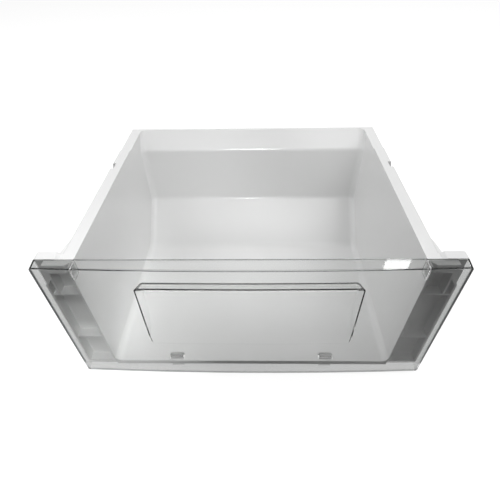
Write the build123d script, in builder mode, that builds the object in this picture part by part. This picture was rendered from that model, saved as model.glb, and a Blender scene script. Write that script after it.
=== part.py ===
from build123d import *
import math
import os

# Freezer drawer: a one-piece white tub with a sloped back, and a clear front panel snapped over its mouth.
# The origin is under the middle of the drawer, on the level of the panel's bottom edge.
# X runs across the drawer, -Y is its front, +Z is up. Millimetres.

# Front panel: a clear tray, open at the back
panel_width = 450.0
panel_height = 200.0
panel_depth = 13.5
panel_flare = 1.6
panel_wall = 2.5
panel_corner = 3.0
panel_edge = 1.2
face_bow = 4.5

# Grip recess pressed into the panel's face
grip_back_width = 234.0
grip_drop = 30.5
grip_height = 92.0
grip_depth = 11.2
grip_back_height = 43.0
grip_side_draft = 25.0
grip_bend = 6.0
grip_round = 2.5
grip_foot_height = 19.0
grip_foot_depth = 7.5
grip_foot_bend = 30.0
grip_toe_bend = 60.0
grip_toe_skim = 0.15

# Tub: inside sizes, measured from the rim and from the rear
tub_reach = 330.0
tub_width = 369.0
tub_depth = 176.0
tub_wall = 2.5
tub_side_draft = 1.2
tub_corner = 9.0
tub_front_gap = 1.0
sill_height = 7.5
slope_run = 70.5
slope_rise = 56.0
slope_foot_bend = 22.0
slope_head_bend = 8.0
back_lean = 6.0
flare_run = 21.0
flare_drop = 27.0
flare_bend = 10.0

# Rim around the tub, with a turned-down lip that runs on the cabinet's ledges
rim_width = 15.0
rim_thickness = 2.5
rim_round = 2.0
rear_rim = 4.0
rear_step = 2.0
rear_step_length = 75.0
lip_height = 13.0
lip_lean = 12.0
lip_notch_length = 14.0
lip_notch_depth = 5.0
lip_notch_from_rear = 122.0
nose_length = 35.0
nose_reach = 6.5
nose_drop = 4.0
nose_height = 12.0

# Wings: the ribbed boxes beside the tub's mouth that carry the panel
seat_gap = 0.4
wing_depth = 11.0
wing_spigot = 3.5
wing_base = 9.0
wing_wall = 2.5
wing_rib = 2.0
upper_rib_drop = 50.0
lower_rib_drop = 132.0
roof_lip_reach = 4.0
roof_lip_height = 9.0
ear_width = 23.0
ear_slant = 4.0
wing_notch_width = 8.5
wing_notch_drop = 22.0
wing_notch_slant = 13.0
corner_hole_width = 8.0
corner_hole_depth = 8.0

# Snap hooks that stand on the panel's bottom wall and catch the tub's floor
hook_spread = 200.0
hook_width = 16.0
hook_thickness = 3.0
hook_catch = 2.5
hook_head = 3.0
slot_clearance = 2.0
slot_setback = 3.0

# Locating ribs behind the panel's face that stand just inside the tub's walls
guide_height = 16.0
guide_thickness = 2.0
guide_reach = 12.0

# Places worked out from the sizes above
overall_depth = face_bow + tub_reach
crown_y = -overall_depth / 2
face_y = crown_y + face_bow
bow_radius = ((panel_width / 2) ** 2 + face_bow**2) / (2 * face_bow)
bow_axis = Axis((0, crown_y + bow_radius, 0), (0, 0, 1))
panel_back_y = face_y + panel_depth
rear_y = face_y + tub_reach
tub_top = panel_height - panel_wall - seat_gap
floor_z = tub_top - tub_depth
sill_half = tub_width / 2 - tub_depth * math.tan(math.radians(tub_side_draft))
mouth_y = face_y + panel_wall + tub_front_gap
rim_half = tub_width / 2 + rim_width
flare_top_y = rear_y - rear_rim
roll_y = flare_top_y - flare_run
roll_z = tub_top - rear_step - flare_drop
back_foot_y = roll_y - back_lean
back_foot_z = floor_z + slope_rise
slope_foot_y = back_foot_y - slope_run
shoulder_y = panel_back_y + seat_gap
wing_back_y = shoulder_y + wing_depth
panel_back_half = panel_width / 2 + panel_flare
flare_per_depth = panel_flare / panel_depth
spigot_y = panel_back_y - wing_spigot
spigot_inset = panel_wall + seat_gap
spigot_half = panel_width / 2 + flare_per_depth * (panel_depth - wing_spigot) - spigot_inset
pocket_half = spigot_half - wing_wall
notch_half = spigot_half - wing_notch_width
notch_z = panel_height - wing_notch_drop
roof_lip_y = spigot_y - roof_lip_reach
grip_lip_z = panel_height - grip_drop
grip_foot_z = grip_lip_z - grip_height
grip_bend_z = grip_lip_z - grip_back_height
grip_back_y = crown_y + grip_depth
rear_top = tub_top - rear_step
lip_z = tub_top - lip_height
step_y = rear_y - rear_step_length
notch_y = rear_y - lip_notch_from_rear
slot_y = mouth_y + slot_setback
slot_length = hook_thickness + hook_catch + slot_clearance
hook_y = slot_y + slot_clearance / 2
guide_x = tub_width / 2 - guide_thickness - seat_gap
corner_hole_x = (tub_width + tub_wall) / 2
overlap = 20.0


def panel_plan(inset, reach):
    """Outline of the panel seen from above: a bowed face between two flared ends."""
    half = panel_width / 2 - inset + flare_per_depth * inset
    back_half = panel_width / 2 - inset + flare_per_depth * reach
    with BuildSketch() as plan:
        with BuildLine():
            face = ThreePointArc((-half, face_y + inset), (0, crown_y + inset), (half, face_y + inset))
            Polyline(face @ 1, (back_half, face_y + reach), (-back_half, face_y + reach), face @ 0)
        make_face()
    return plan.sketch


def grip_scoop(grow):
    """Finger recess as a solid, bowed as the face and grown by a wall: upright back, ramp and toe."""
    out_y = crown_y - overlap
    toe_y = crown_y - grip_toe_skim
    toe_end_z = grip_foot_z - overlap
    foot_bend_y = crown_y + grip_foot_depth
    foot_bend_z = grip_foot_z + grip_foot_height
    draft = math.radians(grip_side_draft)
    side_grow = grow / math.cos(draft) - grow * math.tan(draft)
    start_width = grip_back_width + 2 * side_grow - 2 * face_bow * math.tan(draft)
    with BuildPart() as scoop:
        with BuildSketch(Plane.YZ):
            with BuildLine():
                path = FilletPolyline(
                    (out_y, grip_lip_z),
                    (grip_back_y, grip_lip_z),
                    (grip_back_y, grip_bend_z),
                    (foot_bend_y, foot_bend_z),
                    (toe_y, grip_foot_z),
                    (toe_y, toe_end_z),
                    radius=[grip_round, grip_bend, grip_foot_bend, grip_toe_bend],
                )
                Polyline(path @ 1, (out_y, toe_end_z), path @ 0)
            make_face()
            if grow > 0:
                offset(amount=grow, kind=Kind.INTERSECTION)
        revolve(axis=bow_axis, revolution_arc=math.degrees(grip_back_width / bow_radius))
        mirror(about=Plane.YZ)
        with BuildSketch(Plane.XZ.offset(-grip_back_y - grow - face_bow)):
            Rectangle(start_width, 2 * panel_height)
        extrude(amount=2 * overlap, taper=-grip_side_draft, mode=Mode.INTERSECT)
        corners = scoop.edges().filter_by(lambda edge: edge.center().Y > out_y + grip_depth)
        fillet(corners.filter_by(lambda edge: abs(edge.center().X) > grip_back_width / 3), grip_round + grow)
    return scoop.part


def tub_space(grow):
    """The tub's inside as a solid, grown outward by a wall, open past its mouth and its rim."""
    top_over = panel_height + overlap
    mouth_over = mouth_y - overlap
    flare_over_y = roll_y + flare_run * (top_over - roll_z) / flare_drop
    draft = math.tan(math.radians(tub_side_draft))
    half_top = tub_width / 2 + draft * (top_over - tub_top)
    half_base = tub_width / 2 - draft * tub_depth
    with BuildPart() as space:
        with BuildSketch(Plane.YZ):
            with BuildLine():
                path = FilletPolyline(
                    (mouth_over, floor_z),
                    (slope_foot_y, floor_z),
                    (back_foot_y, back_foot_z),
                    (roll_y, roll_z),
                    (flare_over_y, top_over),
                    radius=[slope_foot_bend, slope_head_bend, flare_bend],
                )
                Polyline(path @ 1, (mouth_over, top_over), path @ 0)
            make_face()
            if grow > 0:
                offset(amount=grow, kind=Kind.INTERSECTION)
        extrude(amount=tub_width, both=True)
        with BuildSketch(Plane.XZ):
            with BuildLine():
                Polyline(
                    (-half_base, floor_z),
                    (half_base, floor_z),
                    (half_top, top_over),
                    (-half_top, top_over),
                    close=True,
                )
            make_face()
            if grow > 0:
                offset(amount=grow, kind=Kind.INTERSECTION)
        extrude(amount=2 * overall_depth, both=True, mode=Mode.INTERSECT)
        sides = space.faces().sort_by(Axis.X)
        seams = sides[0].edges() + sides[-1].edges()
        open_seams = seams.group_by(Axis.Z)[-1] + seams.group_by(Axis.Y)[0]
        fillet(seams - open_seams, tub_corner + grow)
    return space.part


def panel_cavity():
    """The hollow behind the panel's face, wrapped around the back of the grip recess."""
    with BuildPart() as cavity:
        with BuildSketch(Plane.XY.offset(panel_wall)):
            add(panel_plan(panel_wall, panel_depth + overlap))
        extrude(amount=panel_height - 2 * panel_wall)
        add(grip_scoop(panel_wall), mode=Mode.SUBTRACT)
    return cavity.part


def front_block(half, base, top, near_y, far_y):
    """Upright slab across the drawer's front, between two heights and two depths."""
    with BuildPart() as block:
        with BuildSketch(Plane.XZ.offset(-far_y)):
            with Locations((0, (base + top) / 2)):
                Rectangle(2 * half, top - base)
        extrude(amount=far_y - near_y)
    return block.part


def rim_rails(top, near_y, far_y):
    """The rim's two side rails: a flat top and a lip turned down to one level, leaning outward."""
    lean = math.tan(math.radians(lip_lean))
    top_half = rim_half + lean * (tub_top - top)
    lip_half = rim_half + lean * lip_height
    with BuildPart() as rails:
        with BuildSketch(Plane.XZ.offset(-far_y)) as section:
            with BuildLine():
                Polyline(
                    (tub_width / 2, top - rim_thickness),
                    (tub_width / 2, top),
                    (top_half, top),
                    (lip_half, lip_z),
                    (lip_half - tub_wall, lip_z),
                    (top_half - tub_wall, top - rim_thickness),
                    close=True,
                )
            make_face()
            fillet(section.vertices().group_by(Axis.Y)[-1].sort_by(Axis.X)[-1], rim_round)
            mirror(about=Plane.YZ)
        extrude(amount=far_y - near_y)
    return rails.part


def spigot_outline(inset):
    """The wings' front outline, drawn in by a wall: upright sides with the upper corners cut away."""
    with BuildSketch() as outline:
        with BuildLine():
            Polyline(
                (0, wing_base),
                (spigot_half, wing_base),
                (spigot_half, notch_z - wing_notch_slant),
                (notch_half, notch_z),
                (notch_half, tub_top),
                (0, tub_top),
                close=True,
            )
        make_face()
        mirror(about=Plane.YZ)
        if inset > 0:
            offset(amount=-inset, kind=Kind.INTERSECTION)
    return outline.sketch


def wing_frame():
    """The wings as boxes open to the front, ribbed inside, with a shoulder behind the panel's back edge."""
    pocket_y = wing_back_y - wing_wall
    pocket_base = wing_base + wing_wall
    pocket_top = tub_top - wing_wall
    upper_rib_base = panel_height - upper_rib_drop - wing_rib
    stub_x = notch_half - wing_wall / 2
    ear_half = panel_back_half - ear_width
    with BuildPart() as frame:
        add(front_block(panel_back_half, wing_base, panel_height, shoulder_y, wing_back_y))
        fillet(frame.edges().filter_by(Axis.Y), panel_corner)
        with BuildSketch(Plane.XZ.offset(-shoulder_y)):
            add(spigot_outline(0))
        extrude(amount=shoulder_y - spigot_y)
        with BuildSketch(Plane.XZ.offset(-pocket_y)):
            add(spigot_outline(wing_wall))
        extrude(amount=pocket_y - spigot_y, mode=Mode.SUBTRACT)
        for drop in (upper_rib_drop, lower_rib_drop):
            rib_z = panel_height - drop
            add(front_block(pocket_half, rib_z - wing_rib, rib_z, spigot_y, pocket_y))
        with BuildSketch(Plane.XZ.offset(-pocket_y)):
            with Locations((-stub_x, upper_rib_base), (stub_x, upper_rib_base)):
                Rectangle(wing_rib, notch_z - upper_rib_base, align=(Align.CENTER, Align.MIN))
        extrude(amount=pocket_y - spigot_y)
        add(front_block(notch_half, pocket_top, tub_top, roof_lip_y, spigot_y))
        add(front_block(notch_half, tub_top - roof_lip_height, tub_top, roof_lip_y, roof_lip_y + wing_rib))
        add(front_block(sill_half, 0, pocket_base, mouth_y, pocket_y), mode=Mode.SUBTRACT)
        with BuildSketch(Plane.XZ.offset(-wing_back_y)):
            with BuildLine():
                Polyline(
                    (-ear_half, panel_height),
                    (ear_half, panel_height),
                    (ear_half - ear_slant, tub_top),
                    (ear_slant - ear_half, tub_top),
                    close=True,
                )
            make_face()
        extrude(amount=overlap, mode=Mode.SUBTRACT)
    return frame.part


def runner_noses():
    """Rounded swellings where the rim's lip runs into the back of each wing."""
    nose_half = rim_half + nose_reach
    with BuildPart() as noses:
        with BuildSketch(Plane.XY.offset(tub_top - nose_drop - nose_height)):
            with BuildLine():
                root = Line((rim_half, wing_back_y), (nose_half, wing_back_y))
                swell = TangentArc(root @ 1, (rim_half, wing_back_y + nose_length), tangent=(0, 1))
                Line(swell @ 1, root @ 0)
            make_face()
            mirror(about=Plane.YZ)
        extrude(amount=nose_height)
    return noses.part


os.makedirs("parts", exist_ok=True)

# White tub, moulded in one piece: shell, rim, wings, sill, then the inside, slots, corner holes and notches
with BuildPart() as tub:
    add(tub_space(tub_wall))
    split(bisect_by=Plane.XY.offset(tub_top), keep=Keep.BOTTOM)
    split(bisect_by=Plane.XZ.offset(-mouth_y), keep=Keep.BOTTOM)
    with BuildSketch(Plane.XY.offset(rear_top)):
        with Locations((0, step_y)):
            Rectangle(2 * panel_width, 2 * overall_depth, align=(Align.CENTER, Align.MIN))
    extrude(amount=overlap, mode=Mode.SUBTRACT)
    add(rim_rails(tub_top, wing_back_y - wing_wall, step_y))
    add(rim_rails(rear_top, step_y - tub_wall, rear_y))
    with BuildSketch(Plane.YZ.offset(-rim_half)):
        with BuildLine():
            Polyline(
                (roll_y, rear_top - rim_thickness),
                (roll_y, rear_top),
                (rear_y, rear_top),
                (rear_y, lip_z),
                (rear_y - tub_wall, lip_z),
                (rear_y - tub_wall, rear_top - rim_thickness),
                close=True,
            )
        make_face()
    extrude(amount=2 * rim_half)
    add(wing_frame())
    add(runner_noses())
    add(front_block(sill_half, floor_z - sill_height, floor_z + tub_corner, mouth_y, mouth_y + tub_wall))
    add(tub_space(0), mode=Mode.SUBTRACT)
    with BuildSketch(Plane.XY.offset(floor_z)):
        with Locations((-hook_spread / 2, slot_y), (hook_spread / 2, slot_y)):
            Rectangle(hook_width + 2 * slot_clearance, slot_length, align=(Align.CENTER, Align.MIN))
    extrude(amount=-2 * tub_wall, mode=Mode.SUBTRACT)
    with BuildSketch(Plane.XY.offset(tub_top)):
        with BuildLine():
            Polyline(
                (corner_hole_x, mouth_y),
                (corner_hole_x + corner_hole_width, mouth_y),
                (corner_hole_x, mouth_y + corner_hole_depth),
                close=True,
            )
        make_face()
        mirror(about=Plane.YZ)
    extrude(amount=-roof_lip_height, mode=Mode.SUBTRACT)
    with BuildSketch(Plane.XY.offset(tub_top)):
        with Locations((-rim_half, notch_y), (rim_half, notch_y)):
            Rectangle(2 * lip_notch_depth, lip_notch_length)
    extrude(amount=-2 * lip_height, mode=Mode.SUBTRACT)
tub.part.label = "tub"
export_step(tub.part, "parts/tub.step")

# Clear front panel: bowed tray with the grip recess, snap hooks and locating ribs
with BuildPart() as front_panel:
    with BuildSketch():
        add(panel_plan(0, panel_depth))
    extrude(amount=panel_height)
    ends = front_panel.edges().filter_by(lambda edge: abs(edge.center().X) > panel_width / 2)
    fillet(ends.filter_by(Axis.Z, reverse=True), panel_corner)
    fillet(front_panel.faces().sort_by(Axis.Y)[0].edges(), panel_edge)
    add(panel_cavity(), mode=Mode.SUBTRACT)
    add(grip_scoop(0), mode=Mode.SUBTRACT)
    for side in (-1, 1):
        with BuildSketch(Plane.YZ.offset(side * hook_spread / 2 - hook_width / 2)):
            with BuildLine():
                Polyline(
                    (hook_y, panel_wall / 2),
                    (hook_y + hook_thickness, panel_wall / 2),
                    (hook_y + hook_thickness, floor_z + seat_gap),
                    (slot_y + slot_length + hook_catch, floor_z + seat_gap),
                    (hook_y + hook_thickness, floor_z + seat_gap + hook_head),
                    (hook_y, floor_z + seat_gap + hook_head),
                    close=True,
                )
            make_face()
        extrude(amount=hook_width)
        with BuildSketch(Plane.XY.offset(panel_height - panel_wall / 2)):
            with Locations((side * guide_x, face_y)):
                Rectangle(guide_thickness, guide_reach, align=(Align.CENTER, Align.MIN))
        extrude(amount=-guide_height)
front_panel.part.label = "front_panel"
export_step(front_panel.part, "parts/front_panel.step")
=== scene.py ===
"""A white fridge drawer with a clear clip-on front panel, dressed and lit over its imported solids.

Places and sizes are in metres, in the frame of the solids. Colours are linear.
"""

import logging
import math
from collections.abc import Iterable
from dataclasses import dataclass
from enum import Enum

import bpy
from mathutils import Matrix, Vector


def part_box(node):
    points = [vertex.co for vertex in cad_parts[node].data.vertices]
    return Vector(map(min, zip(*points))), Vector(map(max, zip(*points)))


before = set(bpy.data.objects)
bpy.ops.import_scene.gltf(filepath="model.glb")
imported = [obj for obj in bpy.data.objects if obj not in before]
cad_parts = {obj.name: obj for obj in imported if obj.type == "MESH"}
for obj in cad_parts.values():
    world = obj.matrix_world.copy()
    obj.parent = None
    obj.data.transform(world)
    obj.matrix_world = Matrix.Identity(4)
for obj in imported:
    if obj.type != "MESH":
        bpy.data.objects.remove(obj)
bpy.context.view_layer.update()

LOG = logging.getLogger("fridge_drawer")

Tree = bpy.types.NodeTree
Socket = bpy.types.NodeSocket
Colour = tuple[float, float, float]
Place = tuple[float, float, float]

WHITE: Colour = (1.0, 1.0, 1.0)
DRAWER_MIDDLE: Place = (0.0, 0.0, 0.1)


class Node(Enum):
    """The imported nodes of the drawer."""

    TUB = "tub"
    PANEL = "front_panel"


class Slot(Enum):
    """The record's material slots."""

    WHITE = "white_plastic"
    CLEAR = "clear_plastic"


def rgba(colour: Colour) -> tuple[float, float, float, float]:
    """Give a colour with full opacity."""
    return (*colour, 1.0)


def add_node(tree: Tree, kind: str, **values: object) -> bpy.types.Node:
    """Add a node and set its properties and unlinked sockets.

    Args:
        tree: The node tree to add to.
        kind: The node's type name.
        **values: Properties by name, or input sockets by name with spaces as underscores.

    Returns:
        The new node.
    """
    node = tree.nodes.new(kind)
    for key, value in values.items():
        if hasattr(node, key):
            setattr(node, key, value)
        else:
            node.inputs[key.replace("_", " ")].default_value = value
    return node


def socket_of(sockets: Iterable[Socket], identifier: str) -> Socket:
    """Find a socket by its identifier, where several share a name."""
    return next(socket for socket in sockets if socket.identifier == identifier)


def join(tree: Tree, source: Socket | float | tuple[float, ...], target: Socket) -> None:
    """Link an output socket to an input socket, or give the input a plain value.

    Args:
        tree: The node tree that holds them.
        source: The output socket or the value.
        target: The input socket.
    """
    if isinstance(source, Socket):
        tree.links.new(source, target)
    else:
        target.default_value = source


def combine(tree: Tree, operation: str, first: Socket, second: Socket | float = 0.0) -> Socket:
    """Work out a value from one or two others, kept between 0 and 1.

    Args:
        tree: The node tree to add to.
        operation: The Math node's operation.
        first: The first value.
        second: The second value, where the operation has one.

    Returns:
        The outcome.
    """
    outcome = add_node(tree, "ShaderNodeMath", operation=operation, use_clamp=True)
    join(tree, first, socket_of(outcome.inputs, "Value"))
    join(tree, second, socket_of(outcome.inputs, "Value_001"))
    return outcome.outputs["Value"]


def mix_colours(tree: Tree, share: Socket, first: Socket, second: Socket | tuple[float, ...]) -> Socket:
    """Mix two colours.

    Args:
        tree: The node tree to add to.
        share: How much of the second colour shows.
        first: The first colour.
        second: The second colour.

    Returns:
        The mixed colour.
    """
    mix = add_node(tree, "ShaderNodeMix", data_type="RGBA")
    join(tree, share, socket_of(mix.inputs, "Factor_Float"))
    join(tree, first, socket_of(mix.inputs, "A_Color"))
    join(tree, second, socket_of(mix.inputs, "B_Color"))
    return socket_of(mix.outputs, "Result_Color")


def mix_shaders(tree: Tree, share: Socket | float, first: Socket, second: Socket) -> Socket:
    """Mix two shaders.

    Args:
        tree: The node tree to add to.
        share: How much of the second shader shows.
        first: The first shader.
        second: The second shader.

    Returns:
        The mixed shader.
    """
    mix = add_node(tree, "ShaderNodeMixShader")
    for source, target in zip((share, first, second), mix.inputs):
        join(tree, source, target)
    return mix.outputs["Shader"]


def new_material(name: str) -> tuple[bpy.types.Material, Tree, bpy.types.Node]:
    """Make an empty node material.

    Args:
        name: The material's name.

    Returns:
        The material, its node tree and its output node.
    """
    material = bpy.data.materials.new(name)
    material.use_nodes = True
    tree = material.node_tree
    tree.nodes.clear()
    return material, tree, add_node(tree, "ShaderNodeOutputMaterial")


@dataclass(frozen=True)
class SkinLook:
    """What the skin of one moulding looks like."""

    body: Colour
    flow: Colour
    flow_scale: float
    smudge_scale: float
    peel_scale: float
    polish: float
    smudge_roughness: float
    peel_strength: float
    peel_depth: float = 0.00003


@dataclass(frozen=True)
class Grain:
    """One noise of the moulded skin: the input that gives its scale, and how broken up it is."""

    scale_input: str
    detail: float
    roughness: float
    distortion: float = 0.0

    def build(self, tree: Tree, inputs: bpy.types.Node) -> Socket:
        """Add the noise to the group.

        Args:
            tree: The group's node tree.
            inputs: The group's input node.

        Returns:
            The noise's value.
        """
        noise = add_node(tree, "ShaderNodeTexNoise", Detail=self.detail, Roughness=self.roughness)
        join(tree, self.distortion, noise.inputs["Distortion"])
        join(tree, inputs.outputs["Place"], noise.inputs["Vector"])
        join(tree, inputs.outputs[self.scale_input], noise.inputs["Scale"])
        return noise.outputs["Fac"]


class MouldedSkin:
    """Shader node group for what every injection-moulded skin shows: flow tint, smudges and orange peel."""

    NAME = "moulded_skin"
    FLOW = Grain("Flow Scale", detail=3.0, roughness=0.55, distortion=0.6)
    SMUDGE = Grain("Smudge Scale", detail=5.0, roughness=0.6)
    PEEL = Grain("Peel Scale", detail=2.0, roughness=0.45)
    SMUDGE_START = 0.35
    SMUDGE_END = 0.75

    def __init__(self) -> None:
        """Build the group once."""
        self.tree = bpy.data.node_groups.new(self.NAME, "ShaderNodeTree")
        self._declare_sockets()
        self._wire()

    def _declare_sockets(self) -> None:
        """Name the group's inputs and outputs."""
        sockets = self.tree.interface
        sockets.new_socket("Place", in_out="INPUT", socket_type="NodeSocketVector")
        sockets.new_socket("Body", in_out="INPUT", socket_type="NodeSocketColor")
        sockets.new_socket("Flow", in_out="INPUT", socket_type="NodeSocketColor")
        for name in ("Flow Scale", "Smudge Scale", "Peel Scale", "Polish", "Smudge Roughness"):
            sockets.new_socket(name, in_out="INPUT", socket_type="NodeSocketFloat")
        sockets.new_socket("Colour", in_out="OUTPUT", socket_type="NodeSocketColor")
        sockets.new_socket("Roughness", in_out="OUTPUT", socket_type="NodeSocketFloat")
        sockets.new_socket("Height", in_out="OUTPUT", socket_type="NodeSocketFloat")

    def _wire(self) -> None:
        """Link the noises to the outputs."""
        tree = self.tree
        inputs = add_node(tree, "NodeGroupInput")
        outputs = add_node(tree, "NodeGroupOutput")
        flow, smudge, peel = (grain.build(tree, inputs) for grain in (self.FLOW, self.SMUDGE, self.PEEL))
        colour = mix_colours(tree, flow, inputs.outputs["Body"], inputs.outputs["Flow"])
        gloss = add_node(tree, "ShaderNodeMapRange", From_Min=self.SMUDGE_START, From_Max=self.SMUDGE_END)
        join(tree, smudge, gloss.inputs["Value"])
        join(tree, inputs.outputs["Polish"], gloss.inputs["To Min"])
        join(tree, inputs.outputs["Smudge Roughness"], gloss.inputs["To Max"])
        join(tree, colour, outputs.inputs["Colour"])
        join(tree, gloss.outputs["Result"], outputs.inputs["Roughness"])
        join(tree, peel, outputs.inputs["Height"])

    def coat(self, tree: Tree, look: SkinLook, plastic: bpy.types.Node) -> Socket:
        """Put the group into a material, on Object coordinates, and give a shader its roughness and peel.

        Args:
            tree: The material's node tree.
            look: The colours, scales and polish of the moulding.
            plastic: The material's shader.

        Returns:
            The skin's colour.
        """
        values = {
            "Body": rgba(look.body),
            "Flow": rgba(look.flow),
            "Flow Scale": look.flow_scale,
            "Smudge Scale": look.smudge_scale,
            "Peel Scale": look.peel_scale,
            "Polish": look.polish,
            "Smudge Roughness": look.smudge_roughness,
        }
        place = add_node(tree, "ShaderNodeTexCoord")
        skin = add_node(tree, "ShaderNodeGroup", node_tree=self.tree)
        bump = add_node(tree, "ShaderNodeBump", Strength=look.peel_strength, Distance=look.peel_depth)
        join(tree, place.outputs["Object"], skin.inputs["Place"])
        for name, value in values.items():
            join(tree, value, skin.inputs[name])
        join(tree, skin.outputs["Roughness"], plastic.inputs["Roughness"])
        join(tree, skin.outputs["Height"], bump.inputs["Height"])
        join(tree, bump.outputs["Normal"], plastic.inputs["Normal"])
        return skin.outputs["Colour"]


@dataclass(frozen=True)
class WhitePlastic:
    """Glossy white moulding."""

    name: str = "glossy_white_moulding"
    bending: float = 1.5
    look: SkinLook = SkinLook(
        body=(0.803, 0.805, 0.803),
        flow=(0.775, 0.778, 0.776),
        flow_scale=9.0,
        smudge_scale=26.0,
        peel_scale=420.0,
        polish=0.12,
        smudge_roughness=0.19,
        peel_strength=0.06,
    )

    def material(self, skin: MouldedSkin) -> bpy.types.Material:
        """Make the material.

        Args:
            skin: The shared moulded-skin group.

        Returns:
            The finished material.
        """
        material, tree, output = new_material(self.name)
        plastic = add_node(tree, "ShaderNodeBsdfPrincipled", IOR=self.bending)
        join(tree, skin.coat(tree, self.look, plastic), plastic.inputs["Base Color"])
        join(tree, plastic.outputs["BSDF"], output.inputs["Surface"])
        return material


@dataclass(frozen=True)
class PaintedEdgeShade:
    """Painted shade along a clear tray's edges, in place of the dark lines that refraction shows there: both
    edges of its flange, and the foot and ends of its face.
    """

    # Colour of the painted shade along the edges.
    colour: Colour = (0.3, 0.31, 0.305)
    rear_width: float = 0.0022
    lip_width: float = 0.003
    lip_share: float = 0.55
    foot_width: float = 0.0048
    end_width: float = 0.0045
    end_share: float = 0.75
    skin: float = 0.001
    fade: float = 0.0008
    tray_depth: float = 0.0135
    tray_flare: float = 0.0016
    face_bow: float = 0.0045

    def paint_edge_shade(self, tree: Tree, plain: Socket) -> Socket:
        """Paint shade into a colour along the edges, which are found from the front panel's box.

        Args:
            tree: The material's node tree.
            plain: The colour away from the edges.

        Returns:
            The colour with its painted edge shade.
        """
        low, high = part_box(Node.PANEL.value)
        half_width = high.x - self.tray_flare
        bow_radius = (half_width**2 + self.face_bow**2) / (2.0 * self.face_bow)
        rear_y = low.y + self.face_bow + self.tray_depth
        place = add_node(tree, "ShaderNodeTexCoord")
        axes = add_node(tree, "ShaderNodeSeparateXYZ")
        join(tree, place.outputs["Object"], axes.inputs["Vector"])
        across, along, height = axes.outputs
        plan = add_node(tree, "ShaderNodeCombineXYZ")
        join(tree, across, plan.inputs["X"])
        join(tree, along, plan.inputs["Y"])
        reach = add_node(tree, "ShaderNodeVectorMath", operation="DISTANCE")
        join(tree, plan.outputs["Vector"], socket_of(reach.inputs, "Vector"))
        join(tree, (0.0, low.y + bow_radius, 0.0), socket_of(reach.inputs, "Vector_001"))
        bowed = reach.outputs["Value"]
        aside = combine(tree, "ABSOLUTE", across)
        rear = self._past(tree, along, rear_y - self.rear_width)
        lip = self._past(tree, bowed, bow_radius - self.lip_width, self.lip_share)
        top = self._past(tree, height, high.z - self.skin)
        face = self._past(tree, bowed, bow_radius - self.skin)
        raised = self._past(tree, height, low.z + self.foot_width)
        outer = self._past(tree, aside, half_width - self.end_width, self.end_share)
        flange = combine(tree, "MULTIPLY", combine(tree, "MAXIMUM", rear, lip), top)
        foot = combine(tree, "SUBTRACT", face, raised)
        ends = combine(tree, "MULTIPLY", face, outer)
        edge_shade = combine(tree, "MAXIMUM", flange, combine(tree, "MAXIMUM", foot, ends))
        # Paints the edges' shade into the colour, strongest where the masks meet.
        return mix_colours(tree, edge_shade, plain, rgba(self.colour))

    def _past(self, tree: Tree, value: Socket, start: float, most: float = 1.0) -> Socket:
        """Make a mask that rises where a value passes its start.

        Args:
            tree: The material's node tree.
            value: The value to look at.
            start: Where the mask starts to rise.
            most: What the mask rises to.

        Returns:
            The mask.
        """
        step = add_node(tree, "ShaderNodeMapRange", From_Min=start, From_Max=start + self.fade, To_Max=most)
        join(tree, value, step.inputs["Value"])
        return step.outputs["Result"]


@dataclass(frozen=True)
class ClearPlastic:
    """Polished clear moulding that lets lamps through, darkens along its length, and carries painted shade
    along its edges.
    """

    name: str = "polished_clear_moulding"
    bending: float = 1.43
    glint: Colour = (0.5, 0.5, 0.5)
    shadow: Colour = (0.887, 0.89, 0.886)
    depth_colour: Colour = (0.83, 0.855, 0.845)
    depth_density: float = 9.0
    # Painted shade along the tray's edges.
    painted_edge_shade: PaintedEdgeShade = PaintedEdgeShade()
    look: SkinLook = SkinLook(
        body=(0.957, 0.96, 0.957),
        flow=(0.927, 0.932, 0.928),
        flow_scale=14.0,
        smudge_scale=30.0,
        peel_scale=160.0,
        polish=0.012,
        smudge_roughness=0.05,
        peel_strength=0.05,
    )

    def material(self, skin: MouldedSkin) -> bpy.types.Material:
        """Make the material.

        Args:
            skin: The shared moulded-skin group.

        Returns:
            The finished material.
        """
        material, tree, output = new_material(self.name)
        plastic = add_node(tree, "ShaderNodeBsdfPrincipled", IOR=self.bending, Transmission_Weight=1.0)
        plastic.inputs["Specular Tint"].default_value = rgba(self.glint)
        through = add_node(tree, "ShaderNodeBsdfTransparent", Color=rgba(self.shadow))
        path = add_node(tree, "ShaderNodeLightPath")
        depth = add_node(tree, "ShaderNodeVolumeAbsorption", Density=self.depth_density)
        depth.inputs["Color"].default_value = rgba(self.depth_colour)
        # The skin's colour, with painted shade along the tray's edges.
        colour = self.painted_edge_shade.paint_edge_shade(tree, skin.coat(tree, self.look, plastic))
        join(tree, colour, plastic.inputs["Base Color"])
        is_shadow = path.outputs["Is Shadow Ray"]
        shown = mix_shaders(tree, is_shadow, plastic.outputs["BSDF"], through.outputs["BSDF"])
        join(tree, shown, output.inputs["Surface"])
        join(tree, depth.outputs["Volume"], output.inputs["Volume"])
        return material


@dataclass(frozen=True)
class Moulding:
    """One moulded piece of the drawer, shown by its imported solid."""

    node: Node
    slot: Slot

    def dress(self, material: bpy.types.Material) -> bpy.types.Object:
        """Give the piece its finish.

        Args:
            material: The piece's finish.

        Returns:
            The dressed object.
        """
        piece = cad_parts[self.node.value]
        piece.material_slots[0].material = material
        return piece


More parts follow.
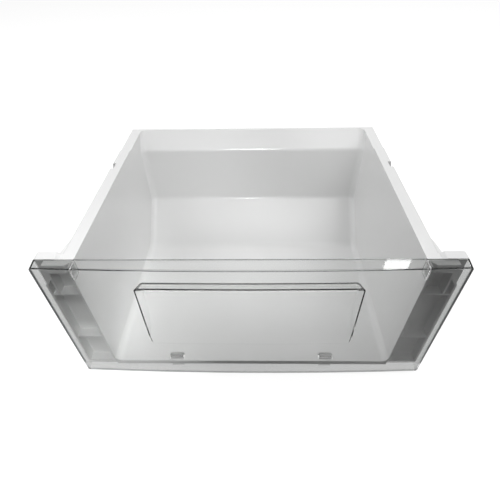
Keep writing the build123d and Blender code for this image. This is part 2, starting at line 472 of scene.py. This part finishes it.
@dataclass(frozen=True)
class PhotoCamera:
    """Camera at the picture's viewing angle, placed from the front panel."""

    focal_px: float = 370.78
    frame_px: float = 500.0
    sensor_mm: float = 36.0
    pitch_deg: float = 42.948
    yaw_deg: float = -1.696
    roll_deg: float = 1.299
    aside: float = 0.00989
    ahead: float = 0.2553
    above: float = 0.26733
    near: float = 0.01
    far: float = 50.0

    def build(self) -> bpy.types.Object:
        """Make the camera the scene's own.

        Returns:
            The camera object.
        """
        low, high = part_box(Node.PANEL.value)
        pitch, yaw, roll = (math.radians(angle) for angle in (self.pitch_deg, self.yaw_deg, self.roll_deg))
        forward = Vector((math.sin(yaw) * math.cos(pitch), math.cos(yaw) * math.cos(pitch), -math.sin(pitch)))
        right = Vector((math.cos(yaw), -math.sin(yaw), 0.0))
        down = forward.cross(right)
        image_right = math.cos(roll) * right + math.sin(roll) * down
        image_up = math.sin(roll) * right - math.cos(roll) * down
        turn = Matrix((image_right, image_up, -forward)).transposed()
        data = bpy.data.cameras.new("photo_camera")
        data.lens = self.focal_px / self.frame_px * self.sensor_mm
        data.sensor_width = self.sensor_mm
        data.clip_start, data.clip_end = self.near, self.far
        camera = bpy.data.objects.new("photo_camera", data)
        place = Vector((self.aside, low.y - self.ahead, high.z + self.above))
        camera.matrix_world = Matrix.Translation(place) @ turn.to_4x4()
        bpy.context.scene.collection.objects.link(camera)
        bpy.context.scene.camera = camera
        return camera


def hang_lamp(data: bpy.types.Light, place: Place, aim: Place) -> bpy.types.Object:
    """Put a lamp into the scene and turn it to a point.

    Args:
        data: The lamp's own settings.
        place: Where the lamp hangs.
        aim: The point that it looks at.

    Returns:
        The lamp object.
    """
    lamp = bpy.data.objects.new(data.name, data)
    lamp.location = place
    lamp.rotation_euler = (Vector(aim) - Vector(place)).to_track_quat("-Z", "Y").to_euler()
    bpy.context.scene.collection.objects.link(lamp)
    return lamp


@dataclass(frozen=True)
class Softbox:
    """One rectangular studio lamp, aimed at the drawer or at a point on it."""

    name: str
    place: Place
    width: float
    height: float
    watts: float
    aim: Place = DRAWER_MIDDLE

    def build(self) -> bpy.types.Object:
        """Place and aim the lamp.

        Returns:
            The lamp object.
        """
        data = bpy.data.lights.new(self.name, "AREA")
        data.shape = "RECTANGLE"
        data.size, data.size_y = self.width, self.height
        data.energy = self.watts
        return hang_lamp(data, self.place, self.aim)


@dataclass(frozen=True)
class SoftSpot:
    """One round lamp whose beam fades out from its middle, aimed at a point on the drawer."""

    name: str
    place: Place
    aim: Place
    beam_deg: float
    radius: float
    watts: float
    beam_fade: float = 1.0

    def build(self) -> bpy.types.Object:
        """Place and aim the lamp.

        Returns:
            The lamp object.
        """
        data = bpy.data.lights.new(self.name, "SPOT")
        data.spot_size = math.radians(self.beam_deg)
        data.spot_blend = self.beam_fade
        data.shadow_soft_size = self.radius
        data.energy = self.watts
        return hang_lamp(data, self.place, self.aim)


SOFTBOXES = (
    Softbox("right_side", (1.6, 0.2, 2.4), width=2.4, height=2.4, watts=23.0),
    Softbox("front_right", (0.9, -0.9, 2.2), width=1.6, height=1.6, watts=12.5),
    Softbox("left_top", (-1.3, 0.3, 2.0), width=1.0, height=1.0, watts=12.7),
    Softbox("left_soft", (-2.0, -0.25, 1.7), width=1.6, height=1.6, watts=7.0),
    Softbox("window", (0.71, 0.906, 1.263), width=0.11, height=0.2, watts=0.75, aim=(0.147, -0.157, 0.2)),
)
SOFT_SPOTS = (
    SoftSpot("left_wing", (0.1, -0.78, 1.48), (-0.2, -0.16, 0.08), beam_deg=13.0, radius=0.1, watts=24.0),
    SoftSpot("left_foot", (0.15, -1.1, 0.75), (-0.165, -0.16, 0.035), beam_deg=10.5, radius=0.05, watts=34.0),
    SoftSpot("right_foot", (-0.1, -1.1, 0.75), (0.175, -0.16, 0.03), beam_deg=7.0, radius=0.1, watts=10.0),
    SoftSpot("back_wall", (-0.05, -1.7, 1.3), (-0.06, 0.15, 0.13), beam_deg=11.0, radius=0.16, watts=66.0),
    SoftSpot("right_flare", (-0.2, -1.3, 1.5), (0.14, 0.152, 0.185), beam_deg=6.0, radius=0.04, watts=18.0),
)


@dataclass(frozen=True)
class Studio:
    """White floor, white surroundings and soft lamps."""

    lamps: tuple[Softbox | SoftSpot, ...] = SOFTBOXES + SOFT_SPOTS
    floor_half: float = 8.0
    floor_colour: Colour = (0.92, 0.92, 0.92)
    floor_bounce: Colour = (0.5, 0.5, 0.5)
    floor_glow: float = 0.62
    glow_strength: float = 1.27
    sheen_share: float = 0.1
    one_plate_depth: float = 2.0
    stacked_depth: float = 4.0
    # The floor seen through several plates dims to this share: painted shade on the panel's ends and edges.
    stacked_shade_share: float = 0.28
    sky_front: float = 0.34
    sky_rear: float = 0.6
    sky_turn: float = 0.6

    def build(self) -> None:
        """Set up floor, world, lamps and colour management."""
        self._floor()
        self._world()
        for lamp in self.lamps:
            lamp.build()
        scene = bpy.context.scene
        scene.view_settings.view_transform = "Standard"
        scene.cycles.caustics_reflective = False
        scene.cycles.caustics_refractive = False

    def _seen(self, tree: Tree) -> Socket:
        """Make a mask of the rays that show the surroundings themselves.

        Args:
            tree: The node tree to add to.

        Returns:
            A socket that is 1 for camera rays and rays through one plate, and less for glossy rays and rays
            through several plates;
            the dimmer floor seen through several plates is painted shade on the panel's ends and edges.
        """
        path = add_node(tree, "ShaderNodeLightPath")
        # Rays through several plates see a dimmer floor, which paints shade on the panel's ends and edges.
        plates = add_node(
            tree,
            "ShaderNodeMapRange",
            From_Min=self.one_plate_depth,
            From_Max=self.stacked_depth,
            To_Min=1.0,
            To_Max=self.stacked_shade_share,
        )
        join(tree, path.outputs["Transmission Depth"], plates.inputs["Value"])
        sheen = combine(tree, "MULTIPLY", path.outputs["Is Glossy Ray"], self.sheen_share)
        through = combine(tree, "MULTIPLY", path.outputs["Is Transmission Ray"], plates.outputs["Result"])
        direct = combine(tree, "MAXIMUM", path.outputs["Is Camera Ray"], sheen)
        return combine(tree, "MAXIMUM", direct, through)

    def _floor(self) -> None:
        """Lay the pale floor, which keeps the shadow."""
        half = self.floor_half
        corners = [(-half, -half, 0.0), (half, -half, 0.0), (half, half, 0.0), (-half, half, 0.0)]
        mesh = bpy.data.meshes.new("floor")
        mesh.from_pydata(corners, [], [(0, 1, 2, 3)])
        floor = bpy.data.objects.new("floor", mesh)
        bpy.context.scene.collection.objects.link(floor)
        material, tree, output = new_material("pale_floor")
        bounce = add_node(tree, "ShaderNodeBsdfDiffuse", Color=rgba(self.floor_bounce))
        paint = add_node(tree, "ShaderNodeBsdfDiffuse", Color=rgba(self.floor_colour))
        glow = add_node(tree, "ShaderNodeEmission", Strength=self.glow_strength)
        shown = mix_shaders(tree, self.floor_glow, paint.outputs["BSDF"], glow.outputs["Emission"])
        surface = mix_shaders(tree, self._seen(tree), bounce.outputs["BSDF"], shown)
        join(tree, surface, output.inputs["Surface"])
        mesh.materials.append(material)

    def _world(self) -> None:
        """Surround the drawer with light that grows towards the rear, and white where it is seen."""
        world = bpy.data.worlds.new("studio")
        world.use_nodes = True
        tree = world.node_tree
        tree.nodes.clear()
        place = add_node(tree, "ShaderNodeTexCoord")
        axes = add_node(tree, "ShaderNodeSeparateXYZ")
        level = add_node(
            tree,
            "ShaderNodeMapRange",
            interpolation_type="SMOOTHSTEP",
            From_Min=-self.sky_turn,
            From_Max=self.sky_turn,
            To_Min=self.sky_front,
            To_Max=self.sky_rear,
        )
        light = add_node(tree, "ShaderNodeBackground")
        white = add_node(tree, "ShaderNodeBackground", Color=rgba(WHITE))
        output = add_node(tree, "ShaderNodeOutputWorld")
        join(tree, place.outputs["Generated"], axes.inputs["Vector"])
        join(tree, axes.outputs["Y"], level.inputs["Value"])
        join(tree, level.outputs["Result"], light.inputs["Strength"])
        seen = self._seen(tree)
        surface = mix_shaders(tree, seen, light.outputs["Background"], white.outputs["Background"])
        join(tree, surface, output.inputs["Surface"])
        bpy.context.scene.world = world


def main() -> None:
    """Dress the drawer's pieces and set up the studio around them."""
    logging.basicConfig(level=logging.INFO, format="%(name)s: %(message)s")
    skin = MouldedSkin()
    tub = Moulding(Node.TUB, Slot.WHITE).dress(WhitePlastic().material(skin))
    panel = Moulding(Node.PANEL, Slot.CLEAR).dress(ClearPlastic().material(skin))
    for piece in (tub, panel):
        LOG.info("dressed %s with %d faces", piece.name, len(piece.data.polygons))
    Studio().build()
    PhotoCamera().build()


if __name__ == "__main__":
    main()
